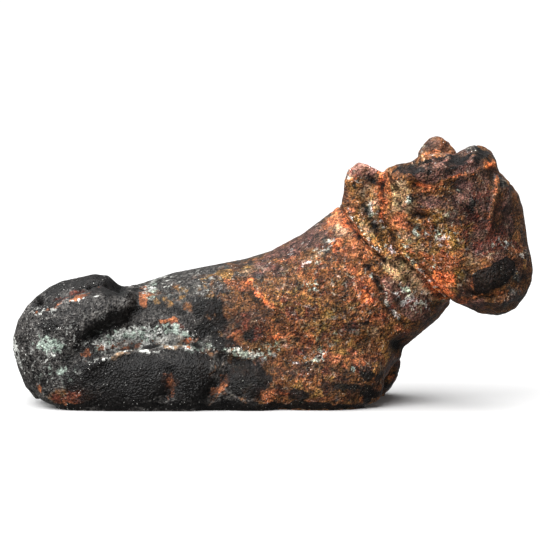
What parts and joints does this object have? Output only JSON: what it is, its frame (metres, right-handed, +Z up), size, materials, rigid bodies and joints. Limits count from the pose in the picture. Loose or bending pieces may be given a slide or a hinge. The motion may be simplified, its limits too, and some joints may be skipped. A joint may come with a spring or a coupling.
{
  "type": "recumbent bull statuette",
  "caption": "Solid-cast bronze bull lying with its legs folded under it and its head turned over its right shoulder, with worn forms and a crusted burial patina.",
  "frame": {"origin": "on the ground, under the middle of the overall box", "axes": "+Z up, +X from the rump to the chest along the body, +Y to the bull's left; the head is turned towards -Y"},
  "size_m": [0.08, 0.0296, 0.0416],
  "materials": {
    "bronze": "burial patina over cast bronze: dark grey-brown on the rump and legs, red-brown and orange rust on the chest, neck and head, with pale green crust in the hollows"
  },
  "bodies": {
    "root": {"bull": "bronze"}
  },
  "joints": []
}
